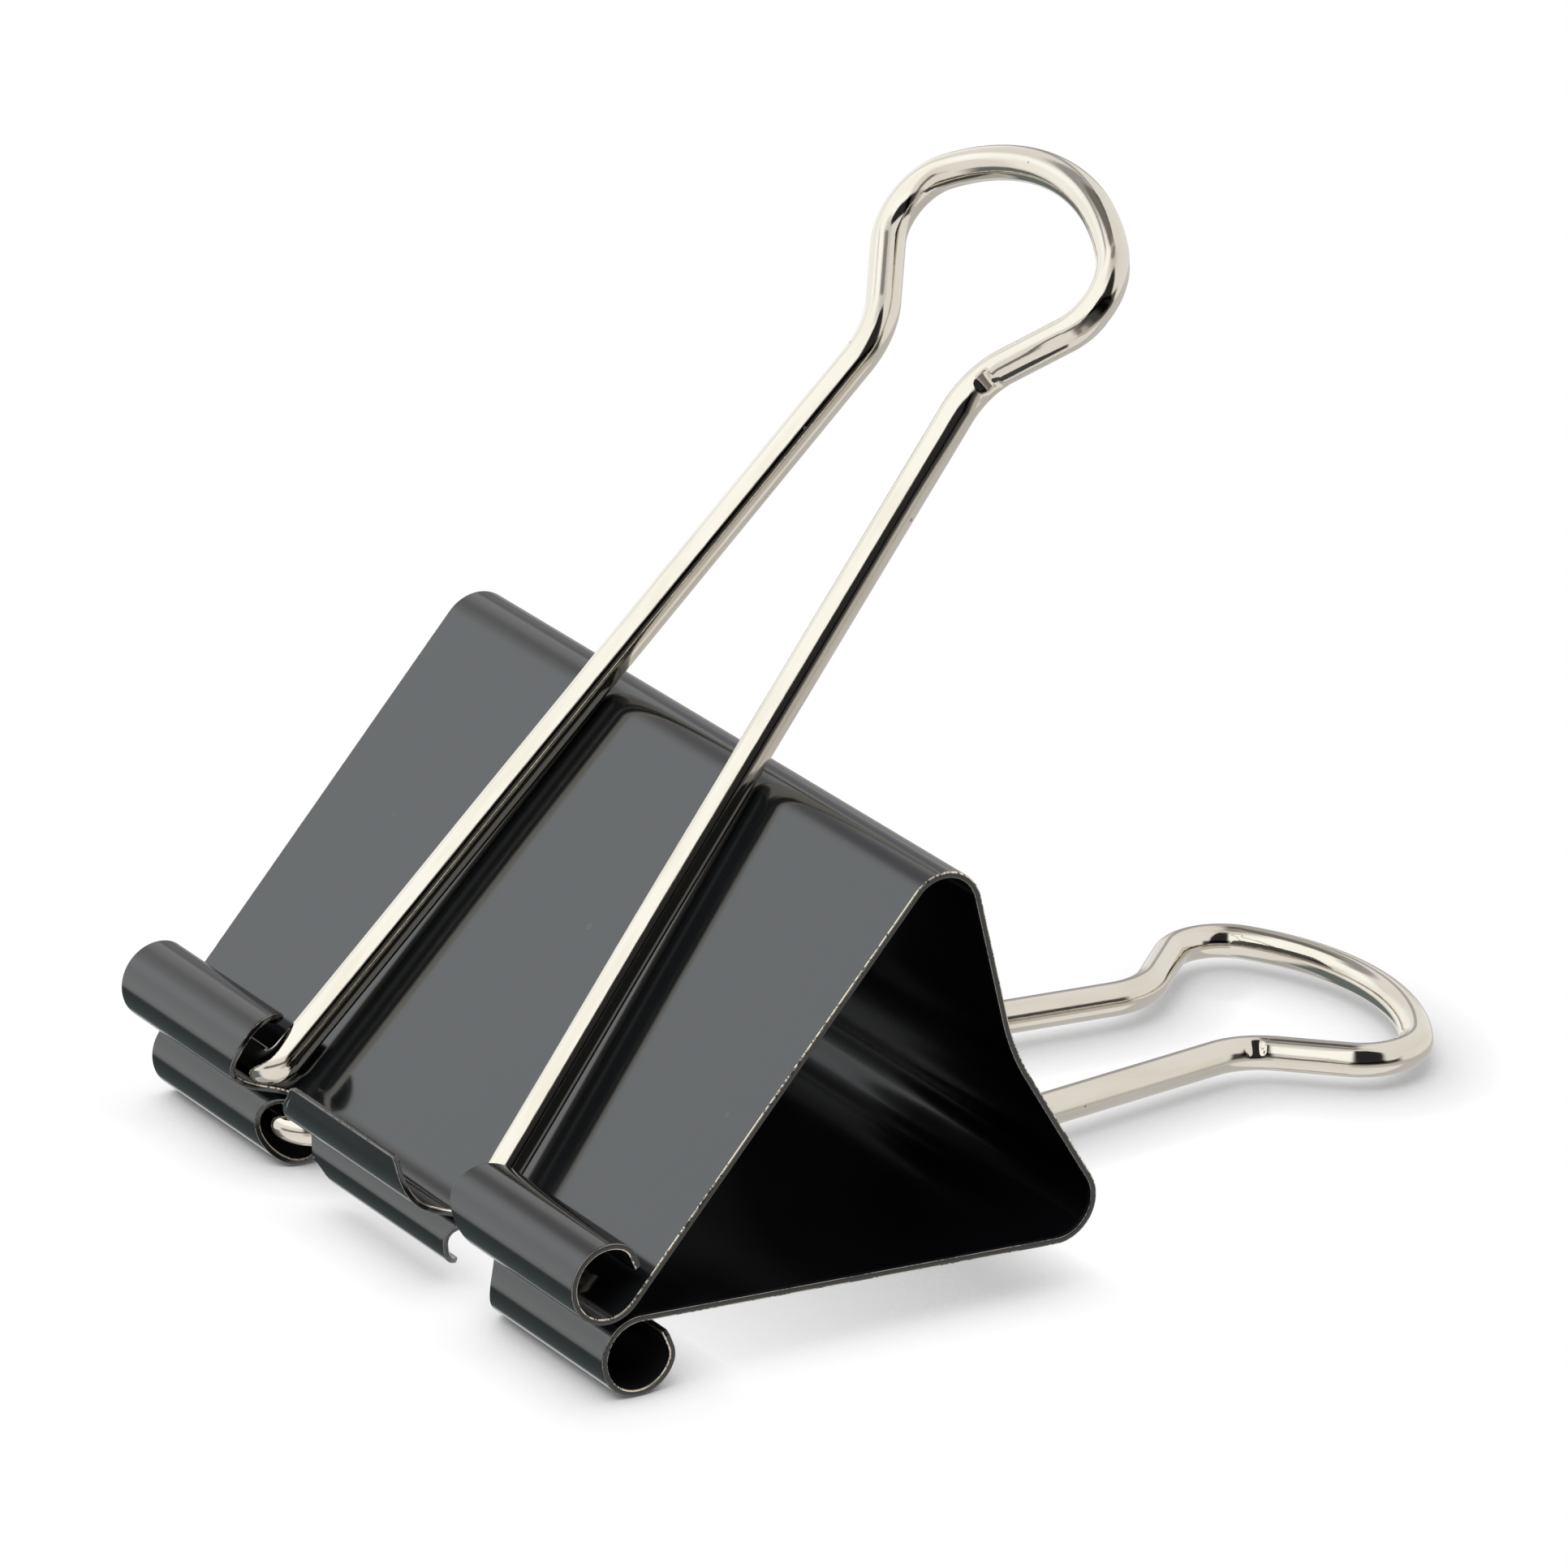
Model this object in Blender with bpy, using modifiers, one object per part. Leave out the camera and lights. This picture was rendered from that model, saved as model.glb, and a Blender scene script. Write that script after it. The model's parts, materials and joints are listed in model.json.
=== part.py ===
"""Binder clip: a folded spring-steel body with two wire handles, lying closed on a table.

The body is one stamped and rolled sheet. It is modelled as three rigid links, the sprung back and
the two jaws, that meet at the back corners, so that the jaws can open. Each jaw edge is rolled
outward into two tubes with a middle lip between them, and the feet of a handle turn in the tubes.
The profile is drawn in the clip's own plane, with Y to the back and Z away from the middle plane.
"""
import math

import bmesh
import bpy
from mathutils import Vector

MM = 0.001

# Folded sheet
WIDTH = 51.0 * MM
SHEET = 0.4 * MM
WALL_LENGTH = 27.5 * MM
WALL_ANGLE = math.radians(25.8)
CURL_RADIUS = 2.43 * MM
TUBE_WRAP = math.radians(312.0)
LIP_WRAP = math.radians(165.0)
CORNER_RADIUS = 2.52 * MM
SPINE_LEAN = math.radians(8.7)
SPINE_HOLLOW_RADIUS = 13.3 * MM
HINGE_GAP = 0.3 * MM
LIP_GAP = 0.3 * MM
ROLL_STEP = math.radians(8.0)
SHORTEST_EDGE = 0.15 * MM

# Notches between the lip and the tubes
TUBE_INNER_X = 12.6 * MM
LIP_HALF_WIDTH = 7.8 * MM
NOTCH_BOTTOM = 2.0 * MM
NOTCH_ROUND = 2.35 * MM
LIP_ROUND = 1.8 * MM
TAB_ROUND = 0.8 * MM

# Wire handles
WIRE_RADIUS = 1.03 * MM
FOOT_END_X = 20.5 * MM
HEEL_X = 11.45 * MM
HEEL_ROUND = 1.6 * MM
HANDLE_REACH = 66.8 * MM
EYE_LENGTH = 12.8 * MM
NECK_X = 5.04 * MM
NECK_ROUND = 4.7 * MM
SHOULDER_X = 12.09 * MM
SHOULDER_ROUND = 3.54 * MM
CROWN_SLOPE = math.radians(34.8)
CROWN_ROUND = 15.3 * MM
WIRE_STEP = math.radians(9.0)
UPPER_HANDLE_ANGLE = math.radians(25.0)
LOWER_HANDLE_ANGLE = math.radians(24.0)
LOWER_FOOT_SAG = 0.3 * MM

SHEET_COLOUR = (0.012, 0.013, 0.014, 1.0)
WIRE_COLOUR = (0.72, 0.69, 0.62, 1.0)


def direction(angle):
    """Unit vector of the clip plane at an angle from the back, turning up."""
    return Vector((math.cos(angle), math.sin(angle)))


def rounded(corners, step, closed):
    """Points along a run of (x, y, radius) corners, each rounded by a tangent arc."""
    points = []
    count = len(corners)
    for index, (x, y, radius) in enumerate(corners):
        here = Vector((x, y))
        if radius == 0.0 or (not closed and index in (0, count - 1)):
            points.append(here)
            continue
        before = Vector(corners[index - 1][:2])
        after = Vector(corners[(index + 1) % count][:2])
        into = (here - before).normalized()
        out = (after - here).normalized()
        turn = math.atan2(into.x * out.y - into.y * out.x, into.dot(out))
        side = math.copysign(1.0, turn)
        start = here - into * radius * math.tan(abs(turn) / 2.0)
        centre = start + Vector((-into.y, into.x)) * radius * side
        steps = max(2, math.ceil(abs(turn) / step))
        spoke = start - centre
        for tick in range(steps + 1):
            angle = turn * tick / steps
            swung = Vector((spoke.x * math.cos(angle) - spoke.y * math.sin(angle),
                            spoke.x * math.sin(angle) + spoke.y * math.cos(angle)))
            if not points or (centre + swung - points[-1]).length > SHORTEST_EDGE:
                points.append(centre + swung)
    return points


class Roll:
    """Middle line of a rolled sheet: straight runs and arcs, with a station at every bend line."""

    def __init__(self, start, heading, run):
        self.stations = [(run, start)]
        self.heading = heading

    def line(self, length):
        run, point = self.stations[-1]
        self.stations.append((run + length, point + direction(self.heading) * length))

    def arc(self, radius, turn):
        run, point = self.stations[-1]
        side = math.copysign(1.0, turn)
        centre = point + direction(self.heading + side * math.pi / 2.0) * radius
        steps = math.ceil(abs(turn) / ROLL_STEP)
        for tick in range(1, steps + 1):
            swept = turn * tick / steps
            spoke = direction(self.heading + swept - side * math.pi / 2.0) * radius
            self.stations.append((run + radius * abs(swept), centre + spoke))
        self.heading += turn

    def snapped(self, run):
        """The developed length itself, or that of a bend line that it nearly meets."""
        nearest = min((station for station, _ in self.stations), key=lambda at: abs(at - run))
        return nearest if abs(nearest - run) < SHORTEST_EDGE else run

    def point(self, run):
        """Point of the middle line at a developed length, straight between two stations."""
        for (low, first), (high, second) in zip(self.stations, self.stations[1:]):
            if run <= high:
                return first.lerp(second, (run - low) / (high - low))
        return self.stations[-1][1]


def material(name, colour, roughness, metallic):
    """Principled material of one node."""
    made = bpy.data.materials.new(name)
    made.use_nodes = True
    shader = made.node_tree.nodes["Principled BSDF"]
    shader.inputs["Base Color"].default_value = colour
    shader.inputs["Roughness"].default_value = roughness
    shader.inputs["Metallic"].default_value = metallic
    return made


def resting(point):
    """Clip plane to the plane of the clip as it lies on the table."""
    return Vector((point.x * math.cos(LAY) - point.y * math.sin(LAY),
                   point.x * math.sin(LAY) + point.y * math.cos(LAY)))


def add_part(name, data, origin, colour, roughness, metallic):
    """Put one node in the part's collection, with its origin on its joint axis."""
    data.materials.append(material(name, colour, roughness, metallic))
    part = bpy.data.objects.new(name, data)
    place = resting(origin)
    part.location = (0.0, place.x, place.y)
    parts.objects.link(part)
    return part


def rolled_sheet(name, outline, roll, side, origin):
    """Stamp a flat blank from its outline, score it at every bend line, roll it and thicken it."""
    blank = bmesh.new()
    blank.faces.new([blank.verts.new((x, roll.snapped(run), 0.0)) for x, run in outline])
    for run, _ in roll.stations[1:-1]:
        bmesh.ops.bisect_plane(blank, geom=blank.verts[:] + blank.edges[:] + blank.faces[:],
                               dist=1e-7, plane_co=(0.0, run, 0.0), plane_no=(0.0, 1.0, 0.0))
    for vert in blank.verts:
        middle = roll.point(vert.co.y)
        flat = resting(Vector((middle.x, middle.y * side)) - origin)
        vert.co = (vert.co.x, flat.x, flat.y)
    bmesh.ops.recalc_face_normals(blank, faces=blank.faces[:])
    data = bpy.data.meshes.new(name)
    blank.to_mesh(data)
    blank.free()
    part = add_part(name, data, origin, SHEET_COLOUR, 0.16, 0.0)
    thicken = part.modifiers.new("sheet thickness", "SOLIDIFY")
    thicken.thickness = SHEET
    thicken.offset = 0.0
    thicken.use_even_offset = True
    thicken.use_quality_normals = True
    return part


def wire_handle(name, path, angle, origin, side):
    """Bend a wire into the handle's outline, laid back at an angle to the middle plane."""
    data = bpy.data.curves.new(name, "CURVE")
    data.dimensions = "3D"
    data.bevel_depth = WIRE_RADIUS
    data.bevel_resolution = 2
    data.use_fill_caps = True
    spline = data.splines.new("POLY")
    spline.points.add(len(path) - 1)
    reach_way = resting(Vector((math.cos(angle), side * math.sin(angle))))
    for point, (x, reach) in zip(spline.points, path):
        flat = reach_way * reach
        point.co = (x, flat.x, flat.y, 1.0)
    return add_part(name, data, origin, WIRE_COLOUR, 0.18, 1.0)


for old in list(bpy.data.objects):
    bpy.data.objects.remove(old, do_unlink=True)
parts = bpy.data.collections.new("binder_clip")
bpy.context.scene.collection.children.link(parts)

# Wire outline, from one foot round the eye to the other foot
crown_apex = HANDLE_REACH + CROWN_ROUND * (1.0 / math.cos(CROWN_SLOPE) - 1.0)
shoulder_reach = crown_apex - SHOULDER_X * math.tan(CROWN_SLOPE)
half_wire = [(FOOT_END_X, 0.0, 0.0), (HEEL_X, 0.0, HEEL_ROUND),
             (NECK_X, HANDLE_REACH - EYE_LENGTH, NECK_ROUND),
             (SHOULDER_X, shoulder_reach, SHOULDER_ROUND)]
other_half = [(-x, reach, radius) for x, reach, radius in reversed(half_wire)]
wire_path = rounded(half_wire + [(0.0, crown_apex, CROWN_ROUND)] + other_half, WIRE_STEP, False)

# Middle lines of the sheet, in the clip plane
middle_radius = CURL_RADIUS - SHEET / 2.0
wall_way = direction(WALL_ANGLE)
wall_out = direction(WALL_ANGLE + math.pi / 2.0)
tube_centre = Vector((0.0, CURL_RADIUS + LIP_GAP / 2.0))
curl_start = tube_centre - wall_out * middle_radius
hinge = curl_start + wall_way * WALL_LENGTH
jaw_roll = Roll(hinge - wall_way * HINGE_GAP / 2.0, WALL_ANGLE + math.pi, HINGE_GAP / 2.0 - WALL_LENGTH)
jaw_roll.line(WALL_LENGTH - HINGE_GAP / 2.0)
jaw_roll.arc(middle_radius, -TUBE_WRAP)

corner_middle = CORNER_RADIUS - SHEET / 2.0
hollow_middle = SPINE_HOLLOW_RADIUS + SHEET / 2.0
corner_turn = WALL_ANGLE + math.pi / 2.0 + SPINE_LEAN
corner_start = hinge + wall_way * HINGE_GAP / 2.0
corner_end = corner_start + (direction(-SPINE_LEAN) - wall_out) * corner_middle
spine_straight = (corner_end.y - hollow_middle * math.sin(SPINE_LEAN)) / math.cos(SPINE_LEAN)
back_roll = Roll(corner_start, WALL_ANGLE, 0.0)
back_roll.arc(corner_middle, -corner_turn)
back_roll.line(spine_straight)
back_roll.arc(hollow_middle, 2.0 * SPINE_LEAN)
back_roll.line(spine_straight)
back_roll.arc(corner_middle, -corner_turn)

# The clip lies on its lower tubes and on the crown of its lower handle
lower_tube = Vector((tube_centre.x, -tube_centre.y))
lower_pivot = lower_tube + Vector((wall_out.x, -wall_out.y)) * LOWER_FOOT_SAG
crown_from_tube = lower_pivot + direction(-LOWER_HANDLE_ANGLE) * HANDLE_REACH - lower_tube
LAY = (math.asin((WIRE_RADIUS - CURL_RADIUS) / crown_from_tube.length)
       - math.atan2(crown_from_tube.y, crown_from_tube.x))

# Stamped outlines, as (width, developed length)
half_width = WIDTH / 2.0
wall_end = jaw_roll.stations[0][0]
tab_end = middle_radius * TUBE_WRAP
lip_end = middle_radius * LIP_WRAP
notched_half = [(half_width, wall_end, 0.0), (half_width, tab_end, 0.0),
                (TUBE_INNER_X, tab_end, TAB_ROUND), (TUBE_INNER_X, NOTCH_BOTTOM, NOTCH_ROUND),
                (LIP_HALF_WIDTH, NOTCH_BOTTOM, NOTCH_ROUND), (LIP_HALF_WIDTH, lip_end, LIP_ROUND)]
mirrored_half = [(-x, run, radius) for x, run, radius in reversed(notched_half)]
jaw_blank = rounded(notched_half + mirrored_half, math.radians(15.0), True)
back_end = back_roll.stations[-1][0]
back_blank = [(half_width, 0.0), (half_width, back_end), (-half_width, back_end), (-half_width, 0.0)]

lower_hinge = Vector((hinge.x, -hinge.y))
rolled_sheet("spring_back", back_blank, back_roll, 1.0, Vector((0.0, 0.0)))
rolled_sheet("upper_jaw", jaw_blank, jaw_roll, 1.0, hinge)
rolled_sheet("lower_jaw", jaw_blank, jaw_roll, -1.0, lower_hinge)
wire_handle("upper_handle", wire_path, UPPER_HANDLE_ANGLE, tube_centre, 1.0)
wire_handle("lower_handle", wire_path, LOWER_HANDLE_ANGLE, lower_pivot, -1.0)

# Stand the part's origin under the middle of its box, on the table
bpy.context.view_layer.update()
graph = bpy.context.evaluated_depsgraph_get()
reached = []
for part in parts.objects:
    shown = part.evaluated_get(graph)
    mesh = shown.to_mesh()
    reached += [shown.matrix_world @ vert.co for vert in mesh.vertices]
    shown.to_mesh_clear()
middle_y = (min(p.y for p in reached) + max(p.y for p in reached)) / 2.0
floor_z = min(p.z for p in reached)
for part in parts.objects:
    part.location.y -= middle_y
    part.location.z -= floor_z
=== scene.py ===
# %% [markdown]
# # Dressing a large binder clip
# The clip is a folded sheet of spring steel with a gloss black lacquer, and two bent handles of
# nickel-plated wire. The imported model gives the frame: five rigid solids and four joints. This lesson
# builds the visible surfaces around that frame, so that the sheet looks like one piece of steel, and
# then paints and lights them. All sizes are in millimetres until a mesh is made.

# %% Load the imported frame
import json
import math

import bpy
import numpy as np
from mathutils import Matrix, Vector


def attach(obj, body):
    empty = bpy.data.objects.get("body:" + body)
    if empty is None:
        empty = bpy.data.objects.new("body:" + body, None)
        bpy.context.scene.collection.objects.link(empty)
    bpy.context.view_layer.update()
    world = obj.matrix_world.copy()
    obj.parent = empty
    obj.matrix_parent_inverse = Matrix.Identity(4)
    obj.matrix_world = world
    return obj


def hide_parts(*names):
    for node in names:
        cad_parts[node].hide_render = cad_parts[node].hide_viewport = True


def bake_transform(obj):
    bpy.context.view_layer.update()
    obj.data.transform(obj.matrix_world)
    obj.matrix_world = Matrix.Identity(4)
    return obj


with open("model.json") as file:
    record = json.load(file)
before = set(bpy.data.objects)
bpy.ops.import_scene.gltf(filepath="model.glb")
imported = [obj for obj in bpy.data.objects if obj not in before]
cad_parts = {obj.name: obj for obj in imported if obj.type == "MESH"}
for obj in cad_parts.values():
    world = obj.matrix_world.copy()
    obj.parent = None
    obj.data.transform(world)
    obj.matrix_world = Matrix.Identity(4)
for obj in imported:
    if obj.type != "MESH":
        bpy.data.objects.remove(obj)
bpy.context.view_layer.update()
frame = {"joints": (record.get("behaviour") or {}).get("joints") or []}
MM = 0.001

# %% [markdown]
# ## The camera
# A long lens from the right and above shows the end of the fold, the jaws and the upper wall. The
# place, the aim and the slight roll come from fitting the outline of the clip in the photograph.
# The focal length is for a square frame on a 36 mm sensor.

# %% Camera
CAMERA_PLACE = Vector((549.73, -354.71, 278.80)) * MM
CAMERA_AIM = Vector((-1.51, -5.77, 22.20)) * MM
CAMERA_ROLL = math.radians(0.974)
CAMERA_LENS = 279.41
CAMERA_SENSOR = 36.0
NEAREST, FARTHEST = 0.01, 50.0

camera = bpy.data.objects.new("camera", bpy.data.cameras.new("camera"))
bpy.context.scene.collection.objects.link(camera)
camera.data.sensor_width = CAMERA_SENSOR
camera.data.lens = CAMERA_LENS
camera.data.clip_start = NEAREST
camera.data.clip_end = FARTHEST
aim = (CAMERA_AIM - CAMERA_PLACE).to_track_quat("-Z", "Y").to_matrix().to_4x4()
camera.matrix_world = Matrix.Translation(CAMERA_PLACE) @ aim @ Matrix.Rotation(CAMERA_ROLL, 4, "Z")
bpy.context.scene.camera = camera
bpy.context.scene.view_settings.view_transform = "Standard"
print("camera distance in mm", round((CAMERA_AIM - CAMERA_PLACE).length / MM, 1))

# %% [markdown]
# ## The clip's own plane
# The fold is the same along its whole width, so it is drawn once in a plane, with y to the back and
# z away from the middle plane. The clip lies tilted on the table. The tilt and the place are read
# from the two flex joints of the frame, which sit where the walls meet the back corners, so nothing
# is fitted afterwards.

# %% Clip plane to world
HALF_WIDTH = 25.5
SHEET = 0.4
WALL_LENGTH = 27.5
WALL_ANGLE = math.radians(25.8)
CURL_RADIUS = 2.43
LIP_GAP = 0.3
CORNER_RADIUS = 2.52
SPINE_LEAN = math.radians(8.7)
HOLLOW_RADIUS = 13.3

joint_at = {joint["name"]: np.array(joint["pos_m"]) / MM for joint in frame["joints"]}
curl_middle = CURL_RADIUS - SHEET / 2
wall_way = np.array([math.cos(WALL_ANGLE), math.sin(WALL_ANGLE)])
wall_out = np.array([-math.sin(WALL_ANGLE), math.cos(WALL_ANGLE)])
tube_centre = np.array([0.0, CURL_RADIUS + LIP_GAP / 2])
curl_start = tube_centre - wall_out * curl_middle
hinge = curl_start + wall_way * WALL_LENGTH

upper_hinge = joint_at["upper_jaw_flex"][1:]
lower_hinge = joint_at["lower_jaw_flex"][1:]
away = (upper_hinge - lower_hinge) / np.linalg.norm(upper_hinge - lower_hinge)
back = np.array([away[1], -away[0]])
clip_origin = (upper_hinge + lower_hinge) / 2 - back * hinge[0]


def to_world(across, y, z):
    """World points: across stays x; y runs along back and z along away, from the clip's origin."""
    flat = clip_origin + np.asarray(y)[..., None] * back + np.asarray(z)[..., None] * away
    return np.concatenate([np.broadcast_to(across, flat.shape[:-1])[..., None], flat], axis=-1)


print("the clip lies tilted by", round(math.degrees(math.atan2(back[1], back[0])), 2), "degrees")

# %% [markdown]
# ## A mesh from arrays
# Every surface here ends as an array of points and an array of faces. One helper hands both to
# Blender, smooths the faces and keeps the object at the origin, with its place in its points. Marks
# are numbers on the points, such as how close a point is to an edge, that a material can read.


# %% Mesh helper
def add_mesh(name, points_mm, faces, marks=None, uv=None, sharp=None):
    """Object from points and lists of corner numbers, with marks, a UV and sharp flags per point. An
    edge is sharp when both of its points are flagged."""
    data = bpy.data.meshes.new(name)
    data.from_pydata((np.asarray(points_mm) * MM).tolist(), [], [face.tolist() for face in faces])
    data.polygons.foreach_set("use_smooth", np.ones(len(data.polygons), bool))
    for mark, values in (marks or {}).items():
        layer = data.attributes.new(mark, "FLOAT", "POINT")
        layer.data.foreach_set("value", np.asarray(values, np.float32))
    if uv is not None:
        corner = np.zeros(len(data.loops), np.int32)
        data.loops.foreach_get("vertex_index", corner)
        layer = data.uv_layers.new(name="wire")
        layer.data.foreach_set("uv", uv[corner].astype(np.float32).ravel())
    if sharp is not None:
        ends = np.zeros(len(data.edges) * 2, np.int32)
        data.edges.foreach_get("vertices", ends)
        layer = data.attributes.new("sharp_edge", "BOOLEAN", "EDGE")
        layer.data.foreach_set("value", sharp[ends.reshape(-1, 2)].all(axis=1))
    data.update()
    made = bpy.data.objects.new(name, data)
    bpy.context.scene.collection.objects.link(made)
    print(name, len(data.vertices), "points", len(data.polygons), "faces")
    return made


def quads(grid):
    """Corner numbers of the cells of a grid of point numbers, turning the same way in every cell."""
    cells = np.stack([grid[:-1, :-1], grid[1:, :-1], grid[1:, 1:], grid[:-1, 1:]], axis=-1)
    return cells.reshape(-1, 4)


def smooth(share):
    """Soft step of a share from 0 to 1: three squares less two cubes."""
    return share * share * (3 - 2 * share)


# %% [markdown]
# ## The rolled profile
# Half of the fold is one line: the hollow of the back, the straight strip beside it, the back corner,
# the wall and the curl of the jaw edge. A line of straights and arcs is given by its heading at each
# developed length, so a bend only needs a radius and a turn. Steel can't be rolled right up to its
# cut edge, so the tubes and the lips each end in a short straight tail, which shows in the photograph.

# %% Profile as straights and arcs
TUBE_CURL = math.radians(250.0)
TUBE_CLOSE = math.radians(45.0)
TUBE_CLOSE_RADIUS = 1.5
TUBE_TAIL = 1.05

corner_middle = CORNER_RADIUS - SHEET / 2
hollow_middle = HOLLOW_RADIUS + SHEET / 2
close_middle = TUBE_CLOSE_RADIUS - SHEET / 2
corner_turn = WALL_ANGLE + math.pi / 2 + SPINE_LEAN
spine_out = np.array([math.cos(SPINE_LEAN), -math.sin(SPINE_LEAN)])
corner_end = hinge + corner_middle * (spine_out - wall_out)
strip_length = (corner_end[1] - hollow_middle * math.sin(SPINE_LEAN)) / math.cos(SPINE_LEAN)

back_runs = [(hollow_middle * SPINE_LEAN, -SPINE_LEAN),
             (strip_length, 0.0),
             (corner_middle * corner_turn, corner_turn),
             (WALL_LENGTH, 0.0)]
tube_runs = back_runs + [(curl_middle * TUBE_CURL, -TUBE_CURL),
                         (close_middle * TUBE_CLOSE, -TUBE_CLOSE),
                         (TUBE_TAIL, 0.0)]
back_length = sum(length for length, turn in back_runs)
tube_length = sum(length for length, turn in tube_runs) - back_length


def travel(heading, turn, length, part):
    """Way from the start of a piece to a developed length on it. A straight follows its heading. On an
    arc the radius is length over turn, times the change of the sine and of minus the cosine."""
    if turn == 0.0:
        return part[..., None] * np.array([math.cos(heading), math.sin(heading)])
    angle = heading + turn * part / length
    change = [np.sin(angle) - math.sin(heading), math.cos(heading) - np.cos(angle)]
    return length / turn * np.stack(change, axis=-1)


def profile(run, runs):
    """Point and heading at developed lengths, piece by piece: each starts where the last one ended."""
    place, heading, done = np.zeros(2), math.pi / 2, 0.0
    points = np.zeros(run.shape + (2,))
    headings = np.full(run.shape, heading)
    for length, turn in runs:
        part = np.clip(run - done, 0.0, None)
        inside = run >= done
        points = np.where(inside[..., None], place + travel(heading, turn, length, part), points)
        headings = np.where(inside, heading + turn * part / length, headings)
        place = place + travel(heading, turn, length, np.array(length))
        heading = heading + turn
        done = done + length
    return points, headings


start_shift = curl_start - profile(np.array([back_length]), back_runs)[0][0]
print("half of the flat sheet is", round(back_length + tube_length, 2), "mm long")

# %% [markdown]
# ## The stamped blank
# Before it was rolled the sheet was flat, with two keyhole slots cut into each jaw edge. The slots
# leave a lip in the middle and a tab at each end. The wire rests in the round bottom of a slot and
# has to snap past the narrow part. The photograph shows that the upper lip has square corners and
# the lower one a long round corner at its left.
#
# The blank is a grid. Its columns run from the middle of the back to the level of the slots, and the
# lip and the tabs carry on from there on grids of their own. Points lie closer together near the cut
# edges, where the shape turns.

# %% Grid lines of the blank
SLOT_LEVEL = 3.3
SLOT_BOTTOM = 1.2
LIP_ROOT = 7.4
TAB_ROOT = 13.3
TAB_NARROW = 11.9
TAB_NARROW_AT = 6.9
TAB_ROUND = 4.5
TAB_OUTER_CORNER = 0.3
LIP_TAPER = 1.5
UPPER_LIP = {"curl_radius": 2.23, "curl": math.radians(140.0), "tail": 0.85, "end": 6.1,
             "corners": (0.7, 0.25)}
LOWER_LIP = {"curl_radius": 1.83, "curl": math.radians(158.0), "tail": 0.3, "end": 6.6,
             "corners": (2.4, 0.3)}
SUPPORT = 0.35
WALL_MARGIN = 3.0
TAB_EVEN = 0.4


def graded(*stretches):
    """Even steps over stretches given as (from, to, count), which share their ends."""
    return np.unique(np.concatenate([np.linspace(*stretch) for stretch in stretches]))


lip_share = graded((-1.0, -0.6, 14), (-0.6, 0.6, 11), (0.6, 1.0, 14))
tab_share = graded((0.0, 0.25, 9), (0.25, 0.9, 9), (0.9, 1.0, 8))
slot_angle = np.linspace(0.0, math.pi, 29)[1:-1]
lip_count, slot_count, tab_count = len(lip_share), len(slot_angle), len(tab_share)
left_tab = np.arange(tab_count)
lip_columns = tab_count + slot_count + np.arange(lip_count)
right_tab = tab_count + 2 * slot_count + lip_count + np.arange(tab_count)
column_count = right_tab[-1] + 1

hollow_end, strip_end, corner_run_end, wall_end = np.cumsum([length for length, turn in back_runs])
back_rows = np.concatenate([np.linspace(0.0, hollow_end, 9),
                            [hollow_end + SUPPORT, strip_end - SUPPORT],
                            np.linspace(strip_end, corner_run_end, 41),
                            [corner_run_end + SUPPORT],
                            np.linspace(corner_run_end + WALL_MARGIN, wall_end - WALL_MARGIN, 6),
                            [wall_end - SUPPORT]])
root_rows = np.linspace(0.0, 1.0, 31)
lip_rows = graded((0.0, 0.8, 33), (0.8, 1.0, 10))[1:]
tip_rows = TAB_EVEN + (1 - TAB_EVEN) * np.sin(np.linspace(0.0, math.pi / 2, 45))
tab_rows = np.concatenate([np.linspace(0.0, TAB_EVEN, 25)[1:], tip_rows[1:]])
print("the main grid has", len(back_rows) + len(root_rows), "rows and", column_count, "columns")

# %% [markdown]
# ## The outline with an inset
# One number, the inset, shrinks the whole grid away from the cut edge. The same function then gives
# the flat faces, a little way in, and every ring of the rounded edge, so they always fit together.


# %% Outline functions
def rounded_end(gap, radius):
    """How far a corner of the given radius falls short at a distance gap from the side edge."""
    return radius - np.sqrt(radius ** 2 - np.clip(radius - gap, 0.0, None) ** 2)


def tab_side(run):
    """Across-place of a tab's inner edge: a half wave from the round slot to its narrow part, then a
    quarter of an ellipse that leaves room for the wire, up to the tip."""
    turn = math.pi * (run - SLOT_LEVEL) / (TAB_NARROW_AT - SLOT_LEVEL)
    wave = (TAB_ROOT + TAB_NARROW) / 2 + (TAB_ROOT - TAB_NARROW) / 2 * np.cos(turn)
    share = np.clip((run - TAB_NARROW_AT) / (tube_length - TAB_NARROW_AT), 0.0, 1.0)
    return np.where(run < TAB_NARROW_AT, wave, TAB_NARROW + TAB_ROUND * (1 - np.sqrt(1 - share ** 2)))


def main_blank(inset):
    """Main grid: straight columns from the back to the slots, whose bottoms are half ellipses."""
    tab = TAB_ROOT + inset + tab_share * (HALF_WIDTH - TAB_ROOT - 2 * inset)
    half = (TAB_ROOT - LIP_ROOT) / 2 + inset
    slot = (TAB_ROOT + LIP_ROOT) / 2 + half * np.cos(slot_angle)
    slot_edge = SLOT_LEVEL - (SLOT_LEVEL - SLOT_BOTTOM + inset) * np.sin(slot_angle)
    across = np.concatenate([-tab[::-1], -slot, lip_share * (LIP_ROOT - inset), slot[::-1], tab])
    edge = np.full(column_count, SLOT_LEVEL)
    edge[tab_count:tab_count + slot_count] = slot_edge
    edge[right_tab[0] - slot_count:right_tab[0]] = slot_edge[::-1]
    past_wall = np.broadcast_to((back_rows - back_length)[:, None], (len(back_rows), column_count))
    run = np.concatenate([past_wall, root_rows[:, None] * edge])
    return np.stack([np.broadcast_to(across, run.shape), run], axis=-1)


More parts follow.
